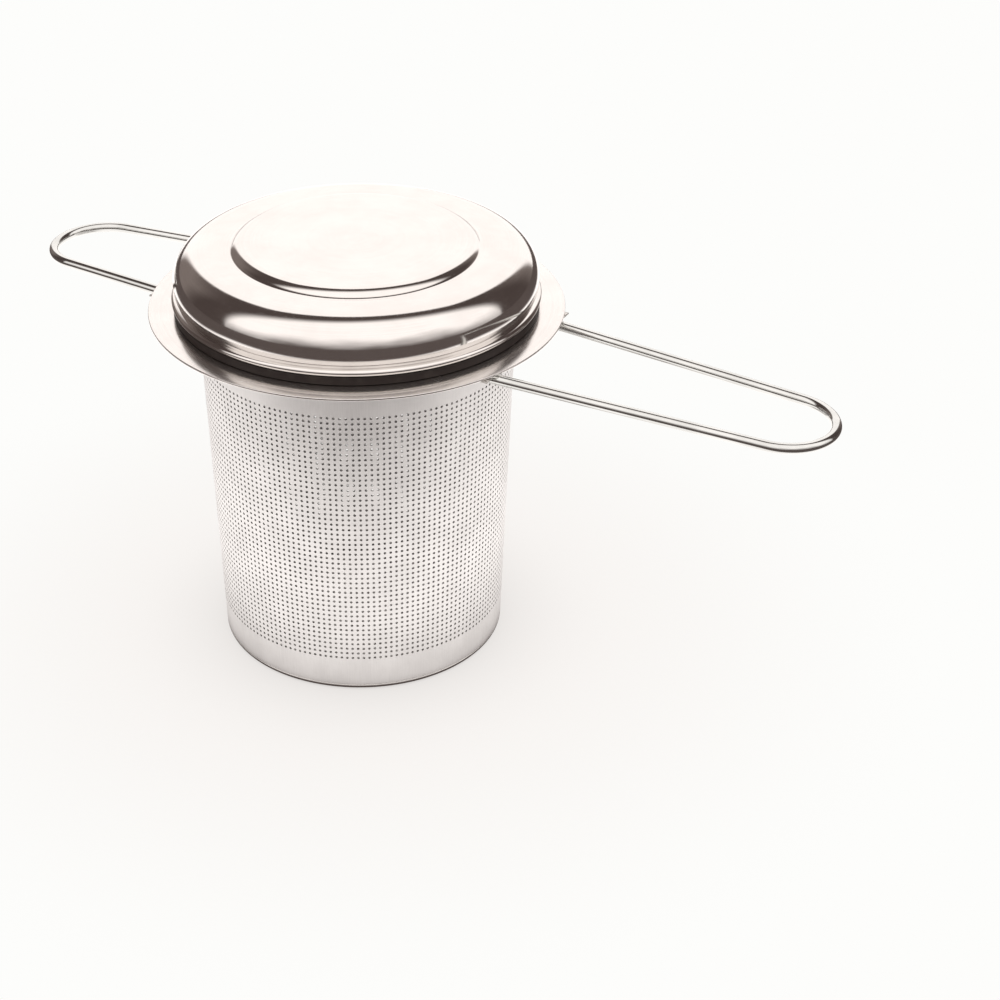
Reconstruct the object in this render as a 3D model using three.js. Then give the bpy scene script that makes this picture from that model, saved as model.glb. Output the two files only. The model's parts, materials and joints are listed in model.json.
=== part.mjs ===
// Tea-infuser basket strainer: a thin steel cup with a flat rim, two folding wire handles
// held under the rim by saddle clips, and a domed lid with a locating collar and a seal.
// Units are millimetres and +Z is up. The origin is the centre of the underside of the base,
// and the long handle points along +X.
import * as THREE from 'three';

// Driving dimensions
const HEIGHT = 75.5; // base underside to rim top
const RIM_RADIUS = 42.5;
const RIM_SHEET = 0.5;
const RIM_BEND = 1.9; // bend radius between the rim flat and the neck, on its upper side
const NECK_INNER_RADIUS = 31.65; // at the lower end of the bend
const NECK_DEPTH = 8.2; // rim top to the neck's lower edge
const WALL_SHEET = 0.3;
const WALL_TOP_RADIUS = 32.55; // outer
const WALL_FOOT_RADIUS = 30.05; // outer
const WALL_TOP = HEIGHT - 2.1;
const WALL_FOOT = 1.3;
const BASE_SHEET = 0.4;
const BASE_CORNER = 1; // outer radius between the floor and the side
const BASE_LAP = 3; // how far the base reaches up inside the wall
const FIT_GAP = 0.08; // between sheets that lie on each other

const WIRE_RADIUS = 1.05;
const PIVOT_X = 33.6; // handle pivots, from the middle
const PIVOT_DEPTH = 1.65; // below the rim top
const STUB_END = 18.9; // half of the distance across a handle's two stub ends
const STUB_BEND = 1.8; // centre-line radius where a leg turns into its stub
const LONG_HANDLE = { reach: 69.5, legSpread: 13.77, taper: 3.54, droop: 1.4 };
const SHORT_HANDLE = { reach: 41.8, legSpread: 13.5, taper: 5.42, droop: 0.7 };

const CLIP_SHEET = 0.4;
const CLIP_WIDTH = 2.3;
const CLIP_INNER_Y = 15.2;
const CLIP_CHANNEL_RADIUS = 1.15;
const CLIP_EAR_IN = 29.8;
const CLIP_EAR_OUT = 39.6;

const LID_SHEET = 0.5;
const SEAT_GAP = 0.05; // between the seal and the rim
const SEAL_RADIUS = 37.3;
const SEAL_TOP = 1.84; // lid heights are measured from the rim top
const SEAL_PLAY = 0.15; // between the seal and the collar it is threaded over
const SHELL_FOOT = SEAL_TOP + FIT_GAP;
const BEAD = { radius: 0.7, centreR: 36.95, centreZ: SHELL_FOOT + 0.7 };
const DOME = { radius: 6.5, centreR: 30.7, centreZ: 6.1, crease: -24 };
const DISC_HEIGHT = 14;
const DISC_FLAT_RADIUS = 22.65;
const STEP_HEIGHT = 1.4; // disc top down to the flat shoulder round it
const STEP_CROWN = 3.2; // radius of the rounding from the disc into the step, outside
const STEP_FOOT = 1.5; // radius of the rounding from the step into the shoulder, outside
const COLLAR_RADIUS = 30.8;
const COLLAR_DEPTH = 4;
const COLLAR_FLANGE_RADIUS = 35.7;

const TURNS = 60; // facets round every turned piece

const radians = THREE.MathUtils.degToRad;

function steel(color, roughness) {
  return new THREE.MeshStandardMaterial({ color, roughness, metalness: 1 });
}

function named(name, geometry, material) {
  const mesh = new THREE.Mesh(geometry, material);
  mesh.name = name;
  return mesh;
}

// Points of an arc in the profile plane; angles in degrees from the radial direction.
function arc(centreR, centreZ, radius, from, to, steps) {
  const points = [];
  for (let i = 0; i <= steps; i += 1) {
    const angle = radians(from + ((to - from) * i) / steps);
    points.push([centreR + radius * Math.cos(angle), centreZ + radius * Math.sin(angle)]);
  }
  return points;
}

// Solid of revolution about Z. The profile runs anticlockwise in (radius, height).
function turned(profile, closed = true) {
  const points = profile.map(([r, z]) => new THREE.Vector2(r, z));
  if (closed) points.push(points[0].clone());
  return new THREE.LatheGeometry(points, TURNS).rotateX(Math.PI / 2);
}

// Outer radius of the tapering wall at a height above the base.
function wallRadius(z) {
  const fraction = (z - WALL_FOOT) / (WALL_TOP - WALL_FOOT);
  return THREE.MathUtils.lerp(WALL_FOOT_RADIUS, WALL_TOP_RADIUS, fraction);
}

function rimFlange() {
  const bendR = NECK_INNER_RADIUS + RIM_BEND;
  const bendZ = HEIGHT - RIM_BEND;
  const neckZ = HEIGHT - NECK_DEPTH;
  const neckOuter = wallRadius(neckZ) - WALL_SHEET - FIT_GAP;
  const edge = 0.12; // softened outer edge
  const profile = [
    [neckOuter - RIM_SHEET, neckZ],
    [neckOuter, neckZ],
    ...arc(bendR, bendZ, RIM_BEND - RIM_SHEET, 180, 90, 3),
    [RIM_RADIUS - edge, HEIGHT - RIM_SHEET],
    [RIM_RADIUS, HEIGHT - RIM_SHEET + edge],
    [RIM_RADIUS, HEIGHT - edge],
    [RIM_RADIUS - edge, HEIGHT],
    ...arc(bendR, bendZ, RIM_BEND, 90, 180, 5),
  ];
  return named('rim_flange', turned(profile), steel(0xd9d6cf, 0.12));
}

function basketWall() {
  const profile = [
    [WALL_FOOT_RADIUS - WALL_SHEET, WALL_FOOT],
    [WALL_FOOT_RADIUS, WALL_FOOT],
    [WALL_TOP_RADIUS, WALL_TOP],
    [WALL_TOP_RADIUS - WALL_SHEET, WALL_TOP],
  ];
  return named('basket_wall', turned(profile), steel(0xe4e1db, 0.35));
}

function basketBase() {
  const lapTop = WALL_FOOT + BASE_LAP;
  const lapOuter = wallRadius(lapTop) - WALL_SHEET - FIT_GAP;
  const stepOuter = WALL_FOOT_RADIUS - WALL_SHEET - FIT_GAP;
  const cornerR = WALL_FOOT_RADIUS - BASE_CORNER;
  const shoulderZ = WALL_FOOT - FIT_GAP;
  const profile = [
    [0, 0],
    ...arc(cornerR, BASE_CORNER, BASE_CORNER, -90, 0, 4),
    [WALL_FOOT_RADIUS, shoulderZ],
    [stepOuter, shoulderZ],
    [lapOuter, lapTop],
    [lapOuter - BASE_SHEET, lapTop],
    ...arc(cornerR, BASE_CORNER, BASE_CORNER - BASE_SHEET, 0, -90, 3),
    [0, BASE_SHEET],
  ];
  return named('basket_base', turned(profile, false), steel(0xdedbd4, 0.3));
}

// Centre line of a wire handle in its own plane: a stub along the pivot axis (local Y), a leg,
// the round end, the other leg and the other stub.
function handleLine({ reach, legSpread, taper }) {
  const tilt = radians(taper);
  const endCentre = (reach - legSpread * Math.cos(tilt)) / (1 - Math.sin(tilt));
  const endRadius = reach - endCentre;
  const tangent = STUB_BEND / Math.tan((Math.PI / 2 + tilt) / 2);
  const bendCentre = new THREE.Vector3(STUB_BEND, legSpread + tangent, 0);
  const line = [new THREE.Vector3(0, STUB_END, 0)];
  const bendSteps = 5;
  for (let i = 0; i <= bendSteps; i += 1) {
    const angle = Math.PI + ((Math.PI / 2 - tilt) * i) / bendSteps;
    const offset = new THREE.Vector3(Math.cos(angle), Math.sin(angle), 0);
    line.push(offset.multiplyScalar(STUB_BEND).add(bendCentre));
  }
  const endSteps = 8;
  for (let i = 0; i < endSteps; i += 1) {
    const angle = THREE.MathUtils.lerp(Math.PI / 2 - tilt, 0, i / endSteps);
    const offset = new THREE.Vector3(Math.cos(angle), Math.sin(angle), 0);
    line.push(offset.multiplyScalar(endRadius).setX(endCentre + endRadius * Math.cos(angle)));
  }
  const mirrored = line.map((point) => new THREE.Vector3(point.x, -point.y, 0)).reverse();
  return [...line, new THREE.Vector3(reach, 0, 0), ...mirrored];
}

// Round wire swept along a line of points, as a closed solid with a ring of vertices at each.
function wire(line) {
  const path = new THREE.CurvePath();
  for (let i = 1; i < line.length; i += 1) path.add(new THREE.LineCurve3(line[i - 1], line[i]));
  // One step per point: the sweep asks the path for evenly numbered points and tangents.
  path.getPointAt = (t) => line[Math.round(t * (line.length - 1))].clone();
  path.getTangentAt = (t) => {
    const i = Math.round(t * (line.length - 1));
    const before = line[Math.max(i - 1, 0)];
    const after = line[Math.min(i + 1, line.length - 1)];
    return after.clone().sub(before).normalize();
  };
  path.getSpacedPoints = () => line.map((point) => point.clone());
  const section = new THREE.Shape();
  section.absarc(0, 0, WIRE_RADIUS, 0, 2 * Math.PI);
  return new THREE.ExtrudeGeometry(section, {
    extrudePath: path,
    steps: line.length - 1,
    curveSegments: 5,
  });
}

// A handle in a group turned about its pivot; side is +1 for +X and -1 for -X.
function handle(name, dimensions, side) {
  const group = new THREE.Group();
  group.position.set(side * PIVOT_X, 0, HEIGHT - PIVOT_DEPTH);
  group.rotation.set(0, radians(dimensions.droop) * side, side > 0 ? 0 : Math.PI);
  group.add(named(name, wire(handleLine(dimensions)), steel(0xcfcac2, 0.16)));
  return group;
}

// Saddle clip: a strap with a round-bottomed channel for the stub and an ear on each side.
function hingeClip(name, side, end) {
  const top = -RIM_SHEET - FIT_GAP;
  const inner = CLIP_CHANNEL_RADIUS;
  const outer = inner + CLIP_SHEET;
  const section = new THREE.Shape();
  section.moveTo(CLIP_EAR_IN - PIVOT_X, top - CLIP_SHEET);
  section.lineTo(-outer, top - CLIP_SHEET);
  section.lineTo(-outer, -PIVOT_DEPTH);
  section.absarc(0, -PIVOT_DEPTH, outer, Math.PI, 2 * Math.PI, false);
  section.lineTo(outer, top - CLIP_SHEET);
  section.lineTo(CLIP_EAR_OUT - PIVOT_X, top - CLIP_SHEET);
  section.lineTo(CLIP_EAR_OUT - PIVOT_X, top);
  section.lineTo(inner, top);
  section.lineTo(inner, -PIVOT_DEPTH);
  section.absarc(0, -PIVOT_DEPTH, inner, 2 * Math.PI, Math.PI, true);
  section.lineTo(-inner, top);
  section.lineTo(CLIP_EAR_IN - PIVOT_X, top);
  const geometry = new THREE.ExtrudeGeometry(section, {
    depth: CLIP_WIDTH,
    bevelEnabled: false,
    curveSegments: 8,
  });
  // The extrusion runs along local Z; turn it so that it runs along -Y.
  geometry.rotateX(Math.PI / 2).translate(0, CLIP_WIDTH / 2, 0);
  const mesh = named(name, geometry, steel(0xbdb8af, 0.3));
  const middle = CLIP_INNER_Y + CLIP_WIDTH / 2;
  mesh.position.set(side * PIVOT_X, end * middle, HEIGHT);
  mesh.rotation.z = side > 0 ? 0 : Math.PI;
  return mesh;
}

// Heights in the lid's profiles are measured from the rim top.
function lidShell() {
  const shoulder = DISC_HEIGHT - STEP_HEIGHT;
  // The step is two arcs that meet where they are steepest.
  const steepest = Math.acos(1 - STEP_HEIGHT / (STEP_CROWN + STEP_FOOT));
  const slope = THREE.MathUtils.radToDeg(steepest);
  const crownZ = DISC_HEIGHT - STEP_CROWN;
  const footR = DISC_FLAT_RADIUS + (STEP_CROWN + STEP_FOOT) * Math.sin(steepest);
  const footZ = shoulder + STEP_FOOT;
  const innerDome = DOME.radius - LID_SHEET;
  const hemInner = DOME.centreR + innerDome * Math.cos(radians(DOME.crease));
  const profile = [
    [hemInner, SHELL_FOOT],
    ...arc(BEAD.centreR, BEAD.centreZ, BEAD.radius, -90, 70, 5),
    ...arc(DOME.centreR, DOME.centreZ, DOME.radius, DOME.crease, 90, 9),
    ...arc(footR, footZ, STEP_FOOT, -90, -90 - slope, 2),
    ...arc(DISC_FLAT_RADIUS, crownZ, STEP_CROWN, 90 - slope, 90, 3).slice(1),
    [0, DISC_HEIGHT],
    [0, DISC_HEIGHT - LID_SHEET],
    ...arc(DISC_FLAT_RADIUS, crownZ, STEP_CROWN - LID_SHEET, 90, 90 - slope, 2),
    ...arc(footR, footZ, STEP_FOOT + LID_SHEET, -90 - slope, -90, 2).slice(1),
    ...arc(DOME.centreR, DOME.centreZ, innerDome, 90, DOME.crease, 6),
    [hemInner, SHELL_FOOT],
  ];
  const mesh = named('lid_shell', turned(profile, false), steel(0xe2ddd5, 0.1));
  mesh.position.z = HEIGHT;
  return mesh;
}

// Angle ring under the lid: its flange is welded in the shell and its collar drops into the neck.
function lidCollar() {
  const flangeTop = SHELL_FOOT + RIM_SHEET;
  const inner = COLLAR_RADIUS - RIM_SHEET;
  const bend = 1;
  const profile = [
    [inner, -COLLAR_DEPTH],
    [COLLAR_RADIUS, -COLLAR_DEPTH],
    ...arc(inner + bend, flangeTop - bend, bend - RIM_SHEET, 180, 90, 2),
    [COLLAR_FLANGE_RADIUS, SHELL_FOOT],
    [COLLAR_FLANGE_RADIUS, flangeTop],
    ...arc(inner + bend, flangeTop - bend, bend, 90, 180, 3),
  ];
  const mesh = named('lid_collar', turned(profile), steel(0xcbc6bd, 0.25));
  mesh.position.z = HEIGHT;
  return mesh;
}

// Soft dark ring between the lid and the rim, threaded over the collar.
function lidSeal() {
  const inner = COLLAR_RADIUS + SEAL_PLAY;
  const edge = 0.15;
  const clearance = 0.4; // bevel that clears the collar's bend
  const profile = [
    [inner, SEAT_GAP],
    [SEAL_RADIUS - edge, SEAT_GAP],
    [SEAL_RADIUS, SEAT_GAP + edge],
    [SEAL_RADIUS, SEAL_TOP - edge],
    [SEAL_RADIUS - edge, SEAL_TOP],
    [inner + clearance, SEAL_TOP],
    [inner, SEAL_TOP - clearance],
  ];
  const rubber = new THREE.MeshStandardMaterial({ color: 0x1d1917, roughness: 0.55 });
  const mesh = named('lid_seal', turned(profile), rubber);
  mesh.position.z = HEIGHT;
  return mesh;
}

const strainer = new THREE.Group();
strainer.add(rimFlange(), basketWall(), basketBase());
strainer.add(hingeClip('long_handle_clip_left', 1, 1));
strainer.add(hingeClip('long_handle_clip_right', 1, -1));
strainer.add(hingeClip('short_handle_clip_left', -1, -1));
strainer.add(hingeClip('short_handle_clip_right', -1, 1));
strainer.add(handle('long_handle', LONG_HANDLE, 1));
strainer.add(handle('short_handle', SHORT_HANDLE, -1));
strainer.add(lidShell(), lidCollar(), lidSeal());

export default strainer;
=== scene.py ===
import json
import math

import bmesh
import bpy
from mathutils import Matrix, Vector
from mathutils.geometry import delaunay_2d_cdt


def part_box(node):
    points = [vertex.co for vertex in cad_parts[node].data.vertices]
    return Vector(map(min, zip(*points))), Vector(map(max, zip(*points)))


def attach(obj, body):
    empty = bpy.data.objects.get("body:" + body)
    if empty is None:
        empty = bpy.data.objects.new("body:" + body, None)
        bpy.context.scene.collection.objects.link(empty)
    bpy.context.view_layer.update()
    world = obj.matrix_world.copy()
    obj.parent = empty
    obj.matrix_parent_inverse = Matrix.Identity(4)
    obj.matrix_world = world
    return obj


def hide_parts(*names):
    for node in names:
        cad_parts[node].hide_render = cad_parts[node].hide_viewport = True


# Looks of the basket strainer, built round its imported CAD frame. Everything is in metres in the
# CAD's own frame: the origin is the centre of the underside of the base, +Z is up and the long
# handle points along +X. Outlines of turned pieces are written in millimetres.

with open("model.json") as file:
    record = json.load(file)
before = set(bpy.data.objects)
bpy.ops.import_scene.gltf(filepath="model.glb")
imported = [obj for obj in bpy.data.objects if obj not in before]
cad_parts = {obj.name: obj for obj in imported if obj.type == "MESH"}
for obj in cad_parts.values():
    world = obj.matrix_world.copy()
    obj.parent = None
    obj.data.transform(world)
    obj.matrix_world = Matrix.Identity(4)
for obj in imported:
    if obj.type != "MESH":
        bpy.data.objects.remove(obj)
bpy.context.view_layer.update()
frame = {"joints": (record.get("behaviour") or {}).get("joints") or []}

MM = 0.001
ROUND = 240  # segments round a turned piece
HARD_ANGLE = math.radians(50)  # edges sharper than this are shaded as edges


def in_mm(value):
    return value / MM


# ---------------------------------------------------------------- sizes, from the CAD frame, mm

RIM_RADIUS = in_mm(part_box("rim_flange")[1].x)
RIM_TOP = in_mm(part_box("rim_flange")[1].z)
NECK_FOOT = in_mm(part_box("rim_flange")[0].z)
RIM_SHEET = 0.5
RIM_BEND = 1.9
NECK_RADIUS = 31.65

WALL_TOP_RADIUS = in_mm(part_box("basket_wall")[1].x)
WALL_TOP = in_mm(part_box("basket_wall")[1].z)
WALL_FOOT = in_mm(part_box("basket_wall")[0].z)
WALL_SHEET = 0.3
BASE_RADIUS = in_mm(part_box("basket_base")[1].x)
BASE_TOP = in_mm(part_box("basket_base")[1].z)
BASE_SHEET = 0.4
BASE_CORNER = 1.0
LAP_GAP = 0.08

HOLE_COLUMNS = 166
HOLE_ROWS = 50
HOLE_PITCH = 1.174
HOLE_RADIUS = 0.29
HOLE_SIDES = 8
FIRST_ROW = RIM_TOP - 9.85
SEAM_COLUMN = HOLE_COLUMNS // 4  # the welded seam, on the +Y side, has no holes

WIRE_RADIUS = 1.05
STUB_END = in_mm(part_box("long_handle")[1].y)
STUB_BEND = 1.8
# spread is half of the distance between the legs at the stubs; taper and droop are in degrees
LONG_HANDLE = {"spread": 13.77, "taper": 3.54, "droop": 1.4}
SHORT_HANDLE = {"spread": 13.5, "taper": 5.42, "droop": 0.7}

BEAD_RADIUS = in_mm(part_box("lid_shell")[1].x)
LID_TOP = in_mm(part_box("lid_shell")[1].z)
SHELL_FOOT = in_mm(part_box("lid_shell")[0].z)
LID_SHEET = 0.5
SEAL_RADIUS = in_mm(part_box("lid_seal")[1].x)
SEAL_FOOT = in_mm(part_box("lid_seal")[0].z)
SEAL_TOP = in_mm(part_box("lid_seal")[1].z)
SEAL_PLAY = 0.15  # between the seal and the collar inside it
COLLAR_RADIUS = 30.8
COLLAR_SHEET = 0.5
COLLAR_FOOT = in_mm(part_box("lid_collar")[0].z)
COLLAR_TOP = in_mm(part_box("lid_collar")[1].z)
COLLAR_FLANGE = in_mm(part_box("lid_collar")[1].x)


# ---------------------------------------------------------------- mesh building

def finish_mesh(name, vertices, faces):
    """A smooth-shaded object from vertices in millimetres, with its sharp edges marked."""
    mesh = bpy.data.meshes.new(name)
    mesh.from_pydata([(x * MM, y * MM, z * MM) for x, y, z in vertices], [], faces)
    mesh.shade_smooth()
    mesh.set_sharp_from_angle(angle=HARD_ANGLE)
    piece = bpy.data.objects.new(name, mesh)
    bpy.context.scene.collection.objects.link(piece)
    return piece


def face_outwards(piece, split_caps=False):
    """Turn a piece's faces outwards; split_caps first cuts faces of over four sides up."""
    fix = bmesh.new()
    fix.from_mesh(piece.data)
    if split_caps:
        bmesh.ops.triangulate(fix, faces=[f for f in fix.faces if len(f.verts) > 4])
    bmesh.ops.recalc_face_normals(fix, faces=fix.faces)
    fix.to_mesh(piece.data)
    fix.free()


def arc(centre_r, centre_z, radius, start, end, step):
    """Points of an arc in an outline, from angle start to end (degrees from outward), with a
    point at least every step degrees."""
    count = max(2, math.ceil(abs(end - start) / step))
    angles = [math.radians(start + (end - start) * i / count) for i in range(count + 1)]
    return [(centre_r + radius * math.cos(a), centre_z + radius * math.sin(a)) for a in angles]


def filleted(corners, step=15.0):
    """A closed outline from corners (r, z, fillet radius), each rounded by its fillet."""
    points = []
    for i, (r, z, fillet) in enumerate(corners):
        here = Vector((r, z))
        to_last = Vector(corners[i - 1][:2]) - here
        to_next = Vector(corners[(i + 1) % len(corners)][:2]) - here
        if fillet == 0:
            points.append((r, z))
            continue
        to_last.normalize()
        to_next.normalize()
        opening = to_last.angle(to_next)
        tangent = fillet / math.tan(opening / 2)
        centre = here + (to_last + to_next).normalized() * (fillet / math.sin(opening / 2))
        first = here + to_last * tangent - centre
        last = here + to_next * tangent - centre
        turn = math.atan2(first.cross(last), first.dot(last))
        count = max(2, math.ceil(abs(math.degrees(turn)) / step))
        for k in range(count + 1):
            angle = turn * k / count
            cos_a, sin_a = math.cos(angle), math.sin(angle)
            points.append((centre.x + first.x * cos_a - first.y * sin_a,
                           centre.y + first.x * sin_a + first.y * cos_a))
    return points


def turned_parts(outline, closed):
    """Vertices and faces of a solid of revolution; the outline runs anticlockwise in (r, z)."""
    vertices = []
    rings = []
    for r, z in outline:
        start = len(vertices)
        if r < 1e-6:
            vertices.append((0.0, 0.0, z))
            rings.append([start] * (ROUND + 1))
            continue
        for k in range(ROUND):
            angle = 2 * math.pi * k / ROUND
            vertices.append((r * math.cos(angle), r * math.sin(angle), z))
        rings.append([start + k % ROUND for k in range(ROUND + 1)])
    faces = []
    pairs = list(zip(rings, rings[1:]))
    if closed:
        pairs.append((rings[-1], rings[0]))
    for low, high in pairs:
        for k in range(ROUND):
            corners = [low[k], low[k + 1], high[k + 1], high[k]]
            face = list(dict.fromkeys(corners))
            if len(face) > 2:
                faces.append(face)
    return vertices, faces


def turned(name, outline, closed=True):
    vertices, faces = turned_parts(outline, closed)
    return finish_mesh(name, vertices, faces)


# ---------------------------------------------------------------- perforated wall

def wall_radius(z):
    """Outer radius of the tapering wall at a height, mm."""
    share = (z - WALL_FOOT) / (WALL_TOP - WALL_FOOT)
    return BASE_RADIUS + share * (WALL_TOP_RADIUS - BASE_RADIUS)


# Triangles round a hole, anticlockwise from outside. a to d are the cell's corners from the
# lower left, and 0 to 7 the hole's points from its right-hand side.
CELL_FACES = ("bc0", "c10", "c21", "cd2", "d32", "d43", "da4", "a54", "a65", "ab6", "b76", "b07")


def sleeve(name, levels, holed):
    """A closed sleeve of sheet between the levels (heights, mm, upwards). The bands between
    levels that are holed have a ring of octagonal holes, except in the seam's column."""
    vertices = []
    faces = []

    def add(angle, z, depth):
        r = wall_radius(z) - depth
        vertices.append((r * math.cos(angle), r * math.sin(angle), z))
        return len(vertices) - 1

    width = 2 * math.pi / HOLE_COLUMNS
    grids = []
    for depth in (0.0, WALL_SHEET):
        grids.append([[add(width * (i - 0.5), z, depth) for i in range(HOLE_COLUMNS)]
                      for z in levels])
    outer, inner = grids
    for j, has_holes in enumerate(holed):
        middle = (levels[j] + levels[j + 1]) / 2
        for i in range(HOLE_COLUMNS):
            n = (i + 1) % HOLE_COLUMNS
            skins = []
            for grid in grids:
                skins.append([grid[j][i], grid[j][n], grid[j + 1][n], grid[j + 1][i]])
            if not has_holes or i == SEAM_COLUMN:
                faces.append(skins[0])
                faces.append(skins[1][::-1])
                continue
            rings = []
            for skin, depth in enumerate((0.0, WALL_SHEET)):
                ring = []
                for k in range(HOLE_SIDES):
                    a = 2 * math.pi / HOLE_SIDES * k
                    across = HOLE_RADIUS * math.cos(a) / (wall_radius(middle) - depth)
                    ring.append(add(width * i + across, middle + HOLE_RADIUS * math.sin(a), depth))
                rings.append(ring)
                lookup = dict(zip("abcd01234567", skins[skin] + ring))
                order = 1 if skin == 0 else -1
                faces.extend([lookup[c] for c in corners][::order] for corners in CELL_FACES)
            for k in range(HOLE_SIDES):
                m = (k + 1) % HOLE_SIDES
                faces.append([rings[0][k], rings[0][m], rings[1][m], rings[1][k]])
    for i in range(HOLE_COLUMNS):
        n = (i + 1) % HOLE_COLUMNS
        faces.append([outer[-1][i], outer[-1][n], inner[-1][n], inner[-1][i]])
        faces.append([inner[0][i], inner[0][n], outer[0][n], outer[0][i]])
    return finish_mesh(name, vertices, faces)


def basket_wall():
    """The wall in two closed sleeves that meet between two rows of holes."""
    last = FIRST_ROW - (HOLE_ROWS - 1) * HOLE_PITCH
    edges = [last + HOLE_PITCH * (j - 0.5) for j in range(HOLE_ROWS + 1)]
    half = HOLE_ROWS // 2
    lower = sleeve("wall_lower", [WALL_FOOT] + edges[:half + 1], [False] + [True] * half)
    upper = sleeve("wall_upper", edges[half:] + [WALL_TOP], [True] * half + [False])
    return lower, upper


# ---------------------------------------------------------------- base

FLOOR_REACH = 27.0  # radius of the flat, perforated part of the floor
FLOOR_HOLES = 24.6  # holes stay inside this radius


def floor_holes():
    """Centres of the floor's holes, on a square grid with the wall's pitch. The middle has none."""
    count = int(FLOOR_HOLES / HOLE_PITCH)
    steps = range(-count, count + 1)
    centres = [(HOLE_PITCH * i, HOLE_PITCH * j) for i in steps for j in steps]
    return [c for c in centres if math.hypot(*c) < FLOOR_HOLES and math.hypot(*c) > 0.1]


def floor_plate():
    """Vertices and faces of the perforated disc, with no outer edge."""
    points = []
    edges = []

    def loop(centre, radius, count):
        start = len(points)
        for k in range(count):
            a = 2 * math.pi * k / count
            points.append(Vector((centre[0] + radius * math.cos(a), centre[1] + radius * math.sin(a))))
            edges.append((start + k, start + (k + 1) % count))
        return range(start, start + count)

    loop((0, 0), FLOOR_REACH, ROUND)
    centres = floor_holes()
    rings = [loop(c, HOLE_RADIUS, HOLE_SIDES) for c in centres]
    hole_points = {p for ring in rings for p in ring}
    ring_of = {p: n for n, ring in enumerate(rings) for p in ring}
    out, _, triangles, _, _, _ = delaunay_2d_cdt(points, edges, [], 0, 1e-5)
    count = len(points)
    vertices = [(p.x, p.y, 0.0) for p in points] + [(p.x, p.y, BASE_SHEET) for p in points]
    faces = []
    for tri in triangles:
        if all(p in hole_points for p in tri) and len({ring_of[p] for p in tri}) == 1:
            continue  # inside a hole
        p, q, r = (out[i] for i in tri)
        if (q - p).cross(r - p) < 0:
            tri = tri[::-1]
        faces.append([i + count for i in tri])
        faces.append(list(tri)[::-1])
    for ring in rings:
        for k in range(HOLE_SIDES):
            a, b = ring[k], ring[(k + 1) % HOLE_SIDES]
            faces.append([a + count, b + count, b, a])
    return vertices, faces


def basket_base():
    """Shallow cap with a rounded corner, a step under the wall's foot and a lap inside it."""
    lap_outer = wall_radius(BASE_TOP) - WALL_SHEET - LAP_GAP
    step_outer = BASE_RADIUS - WALL_SHEET - LAP_GAP
    corner = BASE_RADIUS - BASE_CORNER
    shoulder = WALL_FOOT - LAP_GAP
    outline = [(FLOOR_REACH, 0.0)]
    outline += arc(corner, BASE_CORNER, BASE_CORNER, -90, 0, 6)
    outline += [(BASE_RADIUS, shoulder - 0.05), (BASE_RADIUS - 0.05, shoulder)]
    outline += [(step_outer + 0.1, shoulder), (step_outer, shoulder + 0.1)]
    outline += [(lap_outer, BASE_TOP - 0.1), (lap_outer - 0.1, BASE_TOP)]
    outline += [(lap_outer - BASE_SHEET + 0.1, BASE_TOP), (lap_outer - BASE_SHEET, BASE_TOP - 0.1)]
    outline += arc(corner, BASE_CORNER, BASE_CORNER - BASE_SHEET, 0, -90, 9)
    outline += [(FLOOR_REACH, BASE_SHEET)]
    vertices, faces = turned_parts(outline, closed=False)
    plate_vertices, plate_faces = floor_plate()
    offset = len(vertices)
    faces += [[i + offset for i in face] for face in plate_faces]
    piece = finish_mesh("base_cap", vertices + plate_vertices, faces)
    weld = bmesh.new()
    weld.from_mesh(piece.data)
    bmesh.ops.remove_doubles(weld, verts=weld.verts, dist=1e-6)
    weld.to_mesh(piece.data)
    weld.free()
    piece.data.set_sharp_from_angle(angle=HARD_ANGLE)
    return piece


# ---------------------------------------------------------------- rim

def rim_flange():
    """Flat rim, bend and neck, with softened edges."""
    neck_outer = wall_radius(NECK_FOOT) - WALL_SHEET - LAP_GAP
    bend_r = NECK_RADIUS + RIM_BEND
    bend_z = RIM_TOP - RIM_BEND
    edge = 0.14
    cut = 0.12  # softening of the neck's lower edge
    outline = [(neck_outer - RIM_SHEET, NECK_FOOT + cut)]
    outline += arc(neck_outer - RIM_SHEET + cut, NECK_FOOT + cut, cut, 180, 270, 30)
    outline += arc(neck_outer - cut, NECK_FOOT + cut, cut, -90, 0, 30)
    outline += arc(bend_r, bend_z, RIM_BEND - RIM_SHEET, 180, 90, 8)
    outline += arc(RIM_RADIUS - edge, RIM_TOP - RIM_SHEET + edge, edge, -90, 0, 30)
    outline += arc(RIM_RADIUS - edge, RIM_TOP - edge, edge, 0, 90, 30)
    outline += arc(bend_r, bend_z, RIM_BEND, 90, 180, 5)
    return turned("rim", outline)


# ---------------------------------------------------------------- lid

DOME_RADIUS = 6.5
DOME_CENTRE = (30.7, 6.1)  # height above the rim top
CREASE_ANGLE = -24
BEAD = 0.7  # radius of the hemmed edge
DISC_FLAT = 22.65  # radius of the disc's flat top
STEP_DEPTH = 1.4  # disc top down to the flat shoulder round it
STEP_CROWN = 3.2  # radius of the rounding from the disc into the step
STEP_FOOT = 1.5  # radius of the rounding from the step into the shoulder


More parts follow.
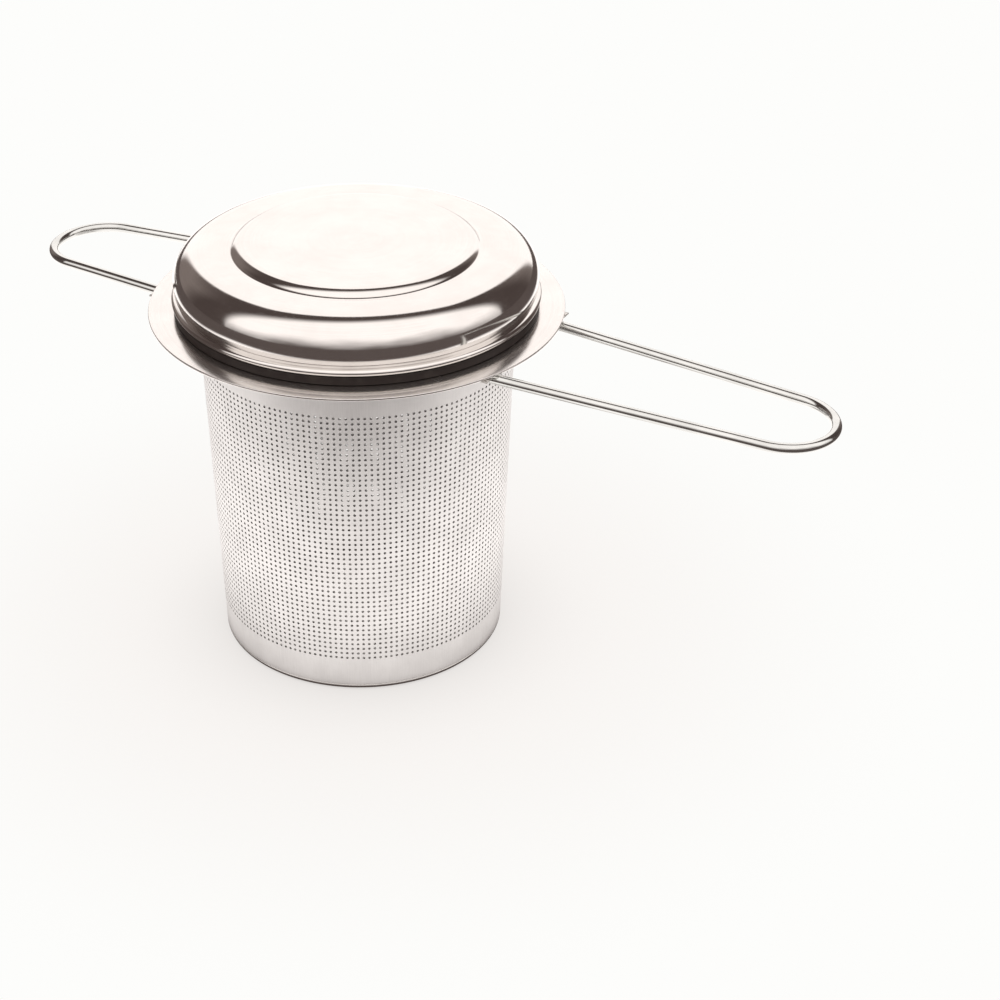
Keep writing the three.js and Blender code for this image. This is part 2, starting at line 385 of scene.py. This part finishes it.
def lid_shell():
    """Dome, step, raised disc and hemmed bead, as one stamped sheet."""
    centre_r, centre_z = DOME_CENTRE[0], RIM_TOP + DOME_CENTRE[1]
    inner = DOME_RADIUS - LID_SHEET
    hem_inner = centre_r + inner * math.cos(math.radians(CREASE_ANGLE))
    both = STEP_CROWN + STEP_FOOT
    steepest = math.acos(1 - STEP_DEPTH / both)  # slope where the step's two arcs meet
    slope = math.degrees(steepest)
    crown_z = LID_TOP - STEP_CROWN
    foot_r = DISC_FLAT + both * math.sin(steepest)
    foot_z = LID_TOP - STEP_DEPTH + STEP_FOOT
    outline = [(hem_inner, SHELL_FOOT)]
    outline += arc(BEAD_RADIUS - BEAD, SHELL_FOOT + BEAD, BEAD, -90, 70, 8)
    outline += arc(centre_r, centre_z, DOME_RADIUS, CREASE_ANGLE, 90, 1.5)
    outline += arc(foot_r, foot_z, STEP_FOOT, -90, -90 - slope, 4)
    outline += arc(DISC_FLAT, crown_z, STEP_CROWN, 90 - slope, 90, 3)[1:]
    outline += [(0, LID_TOP), (0, LID_TOP - LID_SHEET)]
    outline += arc(DISC_FLAT, crown_z, STEP_CROWN - LID_SHEET, 90, 90 - slope, 8)
    outline += arc(foot_r, foot_z, STEP_FOOT + LID_SHEET, -90 - slope, -90, 8)[1:]
    outline += arc(centre_r, centre_z, inner, 90, CREASE_ANGLE, 5)
    return turned("lid_dome", outline + [(hem_inner, SHELL_FOOT)], closed=False)


def lid_collar():
    """Angle ring whose flange lies in the shell and whose collar drops into the neck."""
    inner = COLLAR_RADIUS - COLLAR_SHEET
    return turned("lid_locating_collar", filleted([
        (inner, COLLAR_FOOT, 0.1),
        (COLLAR_RADIUS, COLLAR_FOOT, 0.1),
        (COLLAR_RADIUS, SHELL_FOOT, 0.5),
        (COLLAR_FLANGE, SHELL_FOOT, 0.1),
        (COLLAR_FLANGE, COLLAR_TOP, 0.1),
        (inner, COLLAR_TOP, 1.0),
    ]))


def lid_seal():
    """Soft ring with rounded corners between the shell and the rim."""
    inner = COLLAR_RADIUS + SEAL_PLAY
    return turned("lid_seal_ring", filleted([
        (inner, SEAL_FOOT, 0.2),
        (SEAL_RADIUS, SEAL_FOOT, 0.3),
        (SEAL_RADIUS, SEAL_TOP, 0.25),
        (inner, SEAL_TOP, 0.45),
    ], step=12.0))


# ---------------------------------------------------------------- wire handles

def joint_point(name):
    """The pivot of a joint, mm."""
    found = next(j for j in frame["joints"] if j["name"] == name)
    return Vector(found["pos_m"]) / MM


def handle_line(reach, spread, taper):
    """Centre line of a handle in its own plane, from one stub end to the other."""
    tilt = math.radians(taper)
    end_centre = (reach - spread * math.cos(tilt)) / (1 - math.sin(tilt))
    end_radius = reach - end_centre
    tangent = STUB_BEND / math.tan((math.pi / 2 + tilt) / 2)
    half = [(0.0, STUB_END), (0.0, STUB_END - 0.05)]
    bend_steps = 10
    for i in range(bend_steps + 1):
        a = math.pi + (math.pi / 2 - tilt) * i / bend_steps
        half.append((STUB_BEND + STUB_BEND * math.cos(a), spread + tangent + STUB_BEND * math.sin(a)))
    leg_start = half[-1]
    leg_end = (end_centre + end_radius * math.sin(tilt), end_radius * math.cos(tilt))
    leg_steps = 6
    for i in range(1, leg_steps):
        share = i / leg_steps
        half.append((leg_start[0] + (leg_end[0] - leg_start[0]) * share,
                     leg_start[1] + (leg_end[1] - leg_start[1]) * share))
    end_steps = 28
    for i in range(end_steps):
        a = (math.pi / 2 - tilt) * (1 - i / end_steps)
        half.append((end_centre + end_radius * math.cos(a), end_radius * math.sin(a)))
    return half + [(reach, 0.0)] + [(x, -y) for x, y in reversed(half)]


def wire_handle(name, joint, node, spread, taper, droop, side):
    """Round wire swept along the handle's line, with softened cut ends. side is 1 for the
    handle towards +X and -1 for the one towards -X."""
    pivot = joint_point(joint)
    tip = in_mm(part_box(node)[1].x) if side > 0 else -in_mm(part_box(node)[0].x)
    lean = math.radians(droop)
    reach = (tip - abs(pivot.x) - WIRE_RADIUS) / math.cos(lean)
    line = handle_line(reach, spread, taper)
    on_pivot = Matrix.Translation(pivot) @ Matrix.Rotation(lean * side, 4, "Y")
    if side < 0:
        on_pivot = on_pivot @ Matrix.Rotation(math.pi, 4, "Z")
    sides = 28
    chamfer = 0.18
    vertices, rings = [], []
    stations = [(0, WIRE_RADIUS - chamfer)] + [(i, WIRE_RADIUS) for i in range(len(line))]
    stations += [(len(line) - 1, WIRE_RADIUS - chamfer)]
    for n, (i, radius) in enumerate(stations):
        here = Vector((*line[i], 0))
        before = Vector((*line[max(i - 1, 0)], 0))
        after = Vector((*line[min(i + 1, len(line) - 1)], 0))
        along = (after - before).normalized()
        if n in (1, len(stations) - 2):  # the full-width ring sits a chamfer inside the cut end
            here = here + along * (chamfer if n == 1 else -chamfer)
        across = Vector((0, 0, 1)).cross(along)
        ring = []
        for k in range(sides):
            a = 2 * math.pi * k / sides
            offset = across * (radius * math.cos(a)) + Vector((0, 0, radius * math.sin(a)))
            vertices.append(tuple(on_pivot @ (here + offset)))
            ring.append(len(vertices) - 1)
        rings.append(ring)
    faces = [rings[0][::-1], rings[-1]]
    for low, high in zip(rings, rings[1:]):
        for k in range(sides):
            m = (k + 1) % sides
            faces.append([low[k], low[m], high[m], high[k]])
    piece = finish_mesh(name, vertices, faces)
    face_outwards(piece)
    return piece


# ---------------------------------------------------------------- hinge clips

CLIP_SHEET = 0.4
CLIP_CHANNEL = 1.15


def hinge_clip(name, node, pivot_x):
    """Saddle clip: a strap pressed round the stub, with an ear welded on each side."""
    low, high = (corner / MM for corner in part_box(node))
    side = 1 if pivot_x > 0 else -1
    ear_in = min(abs(low.x), abs(high.x)) - abs(pivot_x)
    ear_out = max(abs(low.x), abs(high.x)) - abs(pivot_x)
    top = high.z
    channel_z = low.z + CLIP_CHANNEL + CLIP_SHEET
    outer = CLIP_CHANNEL + CLIP_SHEET
    outline = filleted([(ear_in, top - CLIP_SHEET, 0.1), (-outer, top - CLIP_SHEET, 0.25),
                        (-outer, channel_z, 0)])
    outline += arc(0, channel_z, outer, 180, 360, 12)[1:-1]
    outline += filleted([(outer, channel_z, 0), (outer, top - CLIP_SHEET, 0.25),
                         (ear_out, top - CLIP_SHEET, 0.1), (ear_out, top, 0.1),
                         (CLIP_CHANNEL, top, 0.6), (CLIP_CHANNEL, channel_z, 0)])
    outline += arc(0, channel_z, CLIP_CHANNEL, 360, 180, 12)[1:-1]
    outline += filleted([(-CLIP_CHANNEL, channel_z, 0), (-CLIP_CHANNEL, top, 0.6),
                         (ear_in, top, 0.1)])
    bevel = 0.08
    slices = [(low.y, bevel), (low.y + bevel, 0.0), (high.y - bevel, 0.0), (high.y, bevel)]
    vertices = []
    rings = []
    count = len(outline)
    for y, inset in slices:
        ring = []
        for i in range(count):
            here = Vector(outline[i])
            along = (Vector(outline[(i + 1) % count]) - Vector(outline[i - 1])).normalized()
            inward = Vector((-along.y, along.x))
            spot = here + inward * inset
            vertices.append((abs(pivot_x) * side + spot.x * side, y, spot.y))
            ring.append(len(vertices) - 1)
        rings.append(ring)
    faces = [rings[0], rings[-1][::-1]]
    for near, far in zip(rings, rings[1:]):
        for i in range(count):
            m = (i + 1) % count
            faces.append([near[i], far[i], far[m], near[m]])
    piece = finish_mesh(name, vertices, faces)
    face_outwards(piece, split_caps=True)
    piece.data.set_sharp_from_angle(angle=HARD_ANGLE)
    return piece


# ---------------------------------------------------------------- materials

class Nodes:
    """Short notation for a node tree: every method returns an output socket."""

    def __init__(self, tree):
        self.tree = tree
        tree.nodes.clear()

    def add(self, kind, values=(), output=0, **settings):
        node = self.tree.nodes.new(kind)
        for key, value in settings.items():
            setattr(node, key, value)
        for key, value in dict(values).items():
            self.set(node.inputs[key], value)
        return node.outputs[output] if node.outputs else node

    def set(self, socket, value):
        if isinstance(value, bpy.types.NodeSocket):
            self.tree.links.new(value, socket)
        else:
            socket.default_value = value

    def math(self, operation, a, b=0.0, clamp=False):
        return self.add("ShaderNodeMath", {0: a, 1: b}, operation=operation, use_clamp=clamp)

    def ramp(self, value, low, high, to_low=0.0, to_high=1.0):
        """Smooth step of a value from low..high to to_low..to_high."""
        return self.add("ShaderNodeMapRange", {
            "Value": value, "From Min": low, "From Max": high, "To Min": to_low, "To Max": to_high,
        }, interpolation_type="SMOOTHSTEP")

    def noise(self, vector, scale, detail=2.0, rough=0.5):
        return self.add("ShaderNodeTexNoise", {
            "Vector": vector, "Scale": scale, "Detail": detail, "Roughness": rough,
        })

    def along(self, vector, axis):
        """How far a vector reaches along an axis."""
        return self.add("ShaderNodeVectorMath", {0: vector, 1: tuple(axis)},
                        output=1, operation="DOT_PRODUCT")

    def stretched(self, vector, factors, turn=(0.0, 0.0, 0.0)):
        return self.add("ShaderNodeMapping", {
            "Vector": vector, "Rotation": tuple(math.radians(a) for a in turn), "Scale": factors,
        })


def colour_mix(nodes, factor, low, high):
    """Blend of two colours, each a plain colour or a socket."""
    mix = nodes.tree.nodes.new("ShaderNodeMix")
    mix.data_type = "RGBA"
    nodes.set(mix.inputs[0], factor)
    for socket, colour in ((mix.inputs[6], low), (mix.inputs[7], high)):
        nodes.set(socket, (*colour, 1.0) if isinstance(colour, tuple) else colour)
    return mix.outputs[2]


GRAIN = 5200.0  # noise cells per metre across the grain lines
GRAIN_LENGTHWISE = 60.0  # and along them


def ring_coordinates(nodes, position, frequency):
    """Coordinates that change only with radius and height, so that lines run round the axis."""
    split = nodes.tree.nodes.new("ShaderNodeSeparateXYZ")
    nodes.set(split.inputs[0], position)
    x, y, z = split.outputs
    squares = nodes.math("ADD", nodes.math("MULTIPLY", x, x), nodes.math("MULTIPLY", y, y))
    radius = nodes.math("SQRT", squares)
    wander = nodes.math("MULTIPLY", nodes.noise(position, 90.0, 1.0), 0.0004)
    join = nodes.tree.nodes.new("ShaderNodeCombineXYZ")
    nodes.set(join.inputs[0], nodes.math("MULTIPLY", nodes.math("ADD", radius, wander), frequency))
    nodes.set(join.inputs[1], nodes.math("MULTIPLY", z, frequency))
    return join.outputs[0]


def steel(name, dark, light, roughness, grain, depth, play=0.1, haze=0.0):
    """Stainless steel with grain lines, hairline scratches, faint smears and uneven tone.
    grain is "round" for lines round the axis, "along" for lines along X, or "up" along Z.
    play is how much the roughness varies from place to place, haze how much of a wide soft
    reflection lies over the sharp one."""
    material = bpy.data.materials.new(name)
    material.use_nodes = True
    nodes = Nodes(material.node_tree)
    position = nodes.add("ShaderNodeTexCoord", output=3)
    if grain == "round":
        lines = nodes.noise(ring_coordinates(nodes, position, GRAIN), 1.0, 3.0, 0.6)
    else:
        lengthwise_x = (GRAIN_LENGTHWISE, GRAIN, GRAIN)
        factors = lengthwise_x if grain == "along" else lengthwise_x[::-1]
        lines = nodes.noise(nodes.stretched(position, factors), 1.0, 3.0, 0.6)
    smears = nodes.noise(position, 55.0, 3.0, 0.55)
    tone = nodes.noise(position, 130.0, 4.0, 0.6)
    hairlines = None
    for turn in ((20, 35, 50), (75, 10, 130), (50, 80, 5)):
        field = nodes.noise(nodes.stretched(position, (45.0, 1500.0, 900.0), turn), 1.0, 1.0)
        off_line = nodes.math("ABSOLUTE", nodes.math("SUBTRACT", field, 0.5))
        line = nodes.ramp(off_line, 0.0, 0.006, 1.0, 0.0)
        patch = nodes.ramp(nodes.noise(position, 150.0 + turn[0], 1.0), 0.52, 0.62)
        line = nodes.math("MULTIPLY", line, patch)
        hairlines = line if hairlines is None else nodes.math("MAXIMUM", hairlines, line)
    gloss = nodes.math("ADD", roughness, nodes.math("MULTIPLY", nodes.math("SUBTRACT", smears, 0.5), play))
    gloss = nodes.math("ADD", gloss, nodes.math("MULTIPLY", nodes.math("SUBTRACT", lines, 0.5), play))
    gloss = nodes.math("ADD", gloss, nodes.math("MULTIPLY", hairlines, 0.12), clamp=True)
    shade = nodes.math("ADD", nodes.math("MULTIPLY", tone, 0.6), nodes.math("MULTIPLY", lines, 0.4))
    colour = colour_mix(nodes, nodes.ramp(shade, 0.35, 0.65), dark, light)
    bump = nodes.add("ShaderNodeBump", {"Height": lines, "Strength": depth, "Distance": 0.00001})
    shader = nodes.add("ShaderNodeBsdfPrincipled", {
        "Base Color": colour, "Roughness": gloss, "Normal": bump, "Metallic": 1.0,
        "Coat Weight": haze, "Coat Roughness": 0.5,
    })
    nodes.add("ShaderNodeOutputMaterial", {"Surface": shader})
    return material


def silicone(name):
    """Dark, slightly dusty silicone rubber with a fine moulded texture. Its near-black colour is also
    painted shade, for the dark gap under the lid's bead.
    """
    material = bpy.data.materials.new(name)
    material.use_nodes = True
    nodes = Nodes(material.node_tree)
    position = nodes.add("ShaderNodeTexCoord", output=3)
    grain = nodes.noise(position, 2600.0, 2.0)
    dust = nodes.noise(position, 240.0, 4.0, 0.65)
    # painted shade: the near-black colour also stands for the shade in the gap under the lid's bead
    colour = colour_mix(nodes, nodes.ramp(dust, 0.4, 0.75), (0.020, 0.013, 0.011), (0.036, 0.027, 0.023))
    gloss = nodes.math("ADD", 0.42, nodes.math("MULTIPLY", dust, 0.2))
    bump = nodes.add("ShaderNodeBump", {"Height": grain, "Strength": 0.25, "Distance": 0.00003})
    shader = nodes.add("ShaderNodeBsdfPrincipled", {
        "Base Color": colour, "Roughness": gloss, "Normal": bump, "Specular IOR Level": 0.3,
    })
    nodes.add("ShaderNodeOutputMaterial", {"Surface": shader})
    return material


# ---------------------------------------------------------------- stage, light and camera

CAMERA_AZIMUTH = math.radians(31.99)
CAMERA_ELEVATION = math.radians(25.615)
CAMERA_DISTANCE = 448.68 * MM  # from the middle of the rim
AIM = Vector((22.3, -1.0, RIM_TOP - 23.6)) * MM  # right of the middle, so that both handles are in view
TOWARDS_CAMERA = Vector((math.sin(CAMERA_AZIMUTH), -math.cos(CAMERA_AZIMUTH), 0))
TO_THE_RIGHT = Vector((math.cos(CAMERA_AZIMUTH), math.sin(CAMERA_AZIMUTH), 0))


def make_camera():
    data = bpy.data.cameras.new("camera")
    data.sensor_width = 36
    data.lens = 78.81
    data.shift_x = 0.05
    data.shift_y = -0.07
    data.clip_start = 0.01
    data.clip_end = 20
    camera = bpy.data.objects.new("camera", data)
    bpy.context.scene.collection.objects.link(camera)
    up = Vector((0, 0, 1))
    camera.location = (up * RIM_TOP * MM
                       + TOWARDS_CAMERA * CAMERA_DISTANCE * math.cos(CAMERA_ELEVATION)
                       + up * CAMERA_DISTANCE * math.sin(CAMERA_ELEVATION))
    camera.rotation_euler = (AIM - camera.location).to_track_quat("-Z", "Y").to_euler()
    bpy.context.scene.camera = camera


PAPER = (0.982, 0.982, 0.967)
# painted shade on the paper round the object's foot
PAPER_PAINTED_SHADE = (0.930, 0.897, 0.872)  # round the object's foot
STUDIO_WHITE = (1.33, 1.26, 1.23)
FLOOR_WHITE = (1.36, 1.30, 1.27)
# painted shade on the mirrored paper close to the object
FLOOR_SHADE = (0.72, 0.68, 0.66)  # in reflections, close to the object
FLOOR_DARK = (0.110, 0.086, 0.080)  # in reflections, far from the object
# dark of the room, and the painted shadow under the object's foot in reflections
ROOM_AND_SHADOW_DARK = (0.082, 0.062, 0.057)
ROOM_PALE = (0.23, 0.19, 0.175)
# the dark under the object's foot in reflections is a painted shadow
FOOT_SHADOW = (0.0306, 0.0320)  # in reflections, where the dark under the object ends, metres
TABLE_END = (0.155, 0.200)  # in reflections, where the white paper ends, metres
FLOOR_SIZE = 4.0  # half of the floor's width
FLOOR_GAP = 0.0001  # under the object
LIGHT_SWING = 5  # degrees to the right of the camera
BACKDROP_SWING = -5


def make_world():
    """A studio: a white backdrop behind the object, a wide soft light over and in front of it
    that fades towards the horizon, and dark wings on both sides. The camera sees plain paper."""
    world = bpy.data.worlds.new("studio")
    bpy.context.scene.world = world
    world.use_nodes = True
    nodes = Nodes(world.node_tree)
    direction = nodes.add("ShaderNodeTexCoord", output=0)

    def turned_by(swing):
        """Parts of the direction towards the front and to the side, and its turn: 0 in front
        and 180 behind."""
        about = Matrix.Rotation(math.radians(swing), 3, "Z")
        ahead = nodes.along(direction, about @ TOWARDS_CAMERA)
        aside = nodes.math("ABSOLUTE", nodes.along(direction, about @ TO_THE_RIGHT))
        return ahead, nodes.math("DEGREES", nodes.math("ARCTAN2", aside, ahead))

    up = nodes.along(direction, (0, 0, 1))
    front, turn = turned_by(LIGHT_SWING)
    behind, backdrop_turn = turned_by(BACKDROP_SWING)
    rise = nodes.math("DEGREES", nodes.math("ARCSINE", up))
    slope = nodes.math("DIVIDE", up, nodes.math("MAXIMUM", nodes.math("ABSOLUTE", behind), 0.01))
    backdrop = nodes.math("MULTIPLY", nodes.ramp(backdrop_turn, 146.0, 152.0),
                          nodes.ramp(slope, 1.62, 1.82, 1.0, 0.0))
    forward = nodes.math("DIVIDE", front, nodes.math("MAXIMUM", up, 0.02))
    overhead = nodes.ramp(forward, -0.30, 0.08)
    lifted = nodes.math("ADD", rise, nodes.ramp(turn, 40.0, 72.0, 0.0, 13.0))
    clutter = nodes.math("MULTIPLY", nodes.math("SUBTRACT", nodes.noise(direction, 2.6, 3.0), 0.5), 26.0)
    fade = nodes.ramp(nodes.math("ADD", lifted, clutter), -9.0, 46.0)
    overhead = nodes.math("MULTIPLY", overhead, fade)
    wing = nodes.math("MULTIPLY", nodes.ramp(turn, 118.0, 140.0), nodes.ramp(rise, 48.0, 20.0))
    light = nodes.math("MAXIMUM", nodes.math("MULTIPLY", overhead, 1.1), backdrop)
    room = colour_mix(nodes, wing, ROOM_AND_SHADOW_DARK, ROOM_PALE)
    studio = colour_mix(nodes, light, room, STUDIO_WHITE)
    seen = nodes.add("ShaderNodeLightPath", output=0)
    paper = colour_mix(nodes, seen, studio, PAPER)
    background = nodes.add("ShaderNodeBackground", {"Color": paper})
    nodes.add("ShaderNodeOutputWorld", {"Surface": background})


def make_floor():
    """Pale paper, with painted shade round the object's foot. In reflections it ends a short way from the
    object, as a table would, with a painted shadow under the foot and painted shade close to it.
    """
    half = FLOOR_SIZE
    mesh = bpy.data.meshes.new("floor")
    mesh.from_pydata([(-half, -half, 0), (half, -half, 0), (half, half, 0), (-half, half, 0)],
                     [], [(0, 1, 2, 3)])
    floor = bpy.data.objects.new("floor", mesh)
    bpy.context.scene.collection.objects.link(floor)
    floor.location.z = -FLOOR_GAP
    material = bpy.data.materials.new("paper")
    material.use_nodes = True
    nodes = Nodes(material.node_tree)
    position = nodes.add("ShaderNodeTexCoord", output=3)
    distance = nodes.add("ShaderNodeVectorMath", {0: position}, output=1, operation="LENGTH")
    # Paper as the camera sees it: plain, with painted shade that makes it a little darker and warmer
    # towards the object's foot.
    shade_wobble = nodes.math("SUBTRACT", nodes.noise(position, 900.0, 4.0), 0.5)
    uneven = nodes.math("ADD", distance, nodes.math("MULTIPLY", shade_wobble, 0.01))
    sheet = colour_mix(nodes, nodes.ramp(uneven, 0.02, 0.13), PAPER_PAINTED_SHADE, PAPER)
    # Painted contact shade: the paper's glow is dimmed where ambient occlusion finds the object close by.
    open_sky = nodes.add("ShaderNodeAmbientOcclusion", {"Distance": 0.03}, output=1, samples=12)
    shaded = nodes.ramp(open_sky, 0.0, 1.0, 0.72, 1.0)
    paper = nodes.add("ShaderNodeEmission", {"Color": sheet, "Strength": shaded})
    # Paper as the steel mirrors it: white as far as the table reaches, with a painted shadow under the
    # foot and painted shade close to it.
    front = nodes.along(position, TOWARDS_CAMERA)
    side = nodes.along(position, TO_THE_RIGHT)
    stretch = nodes.ramp(front, -0.10, 0.08, 0.0, 1.55)
    ahead = nodes.math("MULTIPLY", front, stretch)
    reach = nodes.math("SQRT", nodes.math("ADD", nodes.math("MULTIPLY", ahead, ahead),
                                          nodes.math("MULTIPLY", side, side)))
    # painted shade: the mirrored paper is darker close to the object
    lit = colour_mix(nodes, nodes.ramp(distance, 0.028, 0.060), FLOOR_SHADE, FLOOR_WHITE)
    reflected_paper_painted_shadow = nodes.add("ShaderNodeEmission", {
        "Color": colour_mix(nodes, nodes.ramp(distance, *FOOT_SHADOW), ROOM_AND_SHADOW_DARK, lit)})
    room = nodes.add("ShaderNodeEmission", {"Color": (*FLOOR_DARK, 1.0)})
    mirrored = nodes.add("ShaderNodeMixShader", {0: nodes.ramp(reach, *TABLE_END), 1: reflected_paper_painted_shadow, 2: room})
    glossy = nodes.add("ShaderNodeLightPath", output=3)
    shader = nodes.add("ShaderNodeMixShader", {0: glossy, 1: paper, 2: mirrored})
    nodes.add("ShaderNodeOutputMaterial", {"Surface": shader})
    mesh.materials.append(material)


# ---------------------------------------------------------------- assembly

def place(piece, body, material, node):
    """Finish a piece: its material, its CAD body and the CAD node it stands for."""
    piece.data.materials.clear()
    piece.data.materials.append(material)
    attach(piece, body)
    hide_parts(node)


WARM_DARK = (0.745, 0.72, 0.695)
WARM_LIGHT = (0.80, 0.775, 0.75)

rim_steel = steel("rim_steel", WARM_DARK, WARM_LIGHT, 0.17, "round", 0.02, play=0.05, haze=0.8)
wall_steel = steel("wall_steel", (0.765, 0.755, 0.745), (0.845, 0.835, 0.825), 0.45, "up", 0.25)
base_steel = steel("base_steel", (0.74, 0.72, 0.70), (0.82, 0.80, 0.78), 0.16, "round", 0.25)
clip_steel = steel("clip_steel", (0.56, 0.54, 0.51), (0.68, 0.66, 0.63), 0.27, "along", 0.35)
wire_steel = steel("wire_steel", (0.63, 0.64, 0.62), (0.74, 0.75, 0.73), 0.11, "along", 0.1)
lid_steel = steel("lid_steel", WARM_DARK, WARM_LIGHT, 0.1, "round", 0.015, play=0.05)
collar_steel = steel("collar_steel", (0.62, 0.60, 0.57), (0.74, 0.72, 0.69), 0.28, "round", 0.25)
seal_rubber = silicone("seal_rubber")

place(rim_flange(), "basket", rim_steel, "rim_flange")
for part in basket_wall():
    place(part, "basket", wall_steel, "basket_wall")
place(basket_base(), "basket", base_steel, "basket_base")

for handle in ("long", "short"):
    pivot = joint_point(f"{handle}_handle_fold")
    for end in ("left", "right"):
        node = f"{handle}_handle_clip_{end}"
        place(hinge_clip(f"{handle}_clip_{end}", node, pivot.x), "basket",
              clip_steel, node)

long_wire = wire_handle("long_wire", "long_handle_fold", "long_handle", side=1, **LONG_HANDLE)
place(long_wire, "long_handle", wire_steel, "long_handle")
short_wire = wire_handle("short_wire", "short_handle_fold", "short_handle", side=-1, **SHORT_HANDLE)
place(short_wire, "short_handle", wire_steel, "short_handle")

place(lid_shell(), "lid", lid_steel, "lid_shell")
place(lid_collar(), "lid", collar_steel, "lid_collar")
place(lid_seal(), "lid", seal_rubber, "lid_seal")

make_camera()
make_world()
make_floor()
bpy.context.scene.view_settings.view_transform = "Standard"
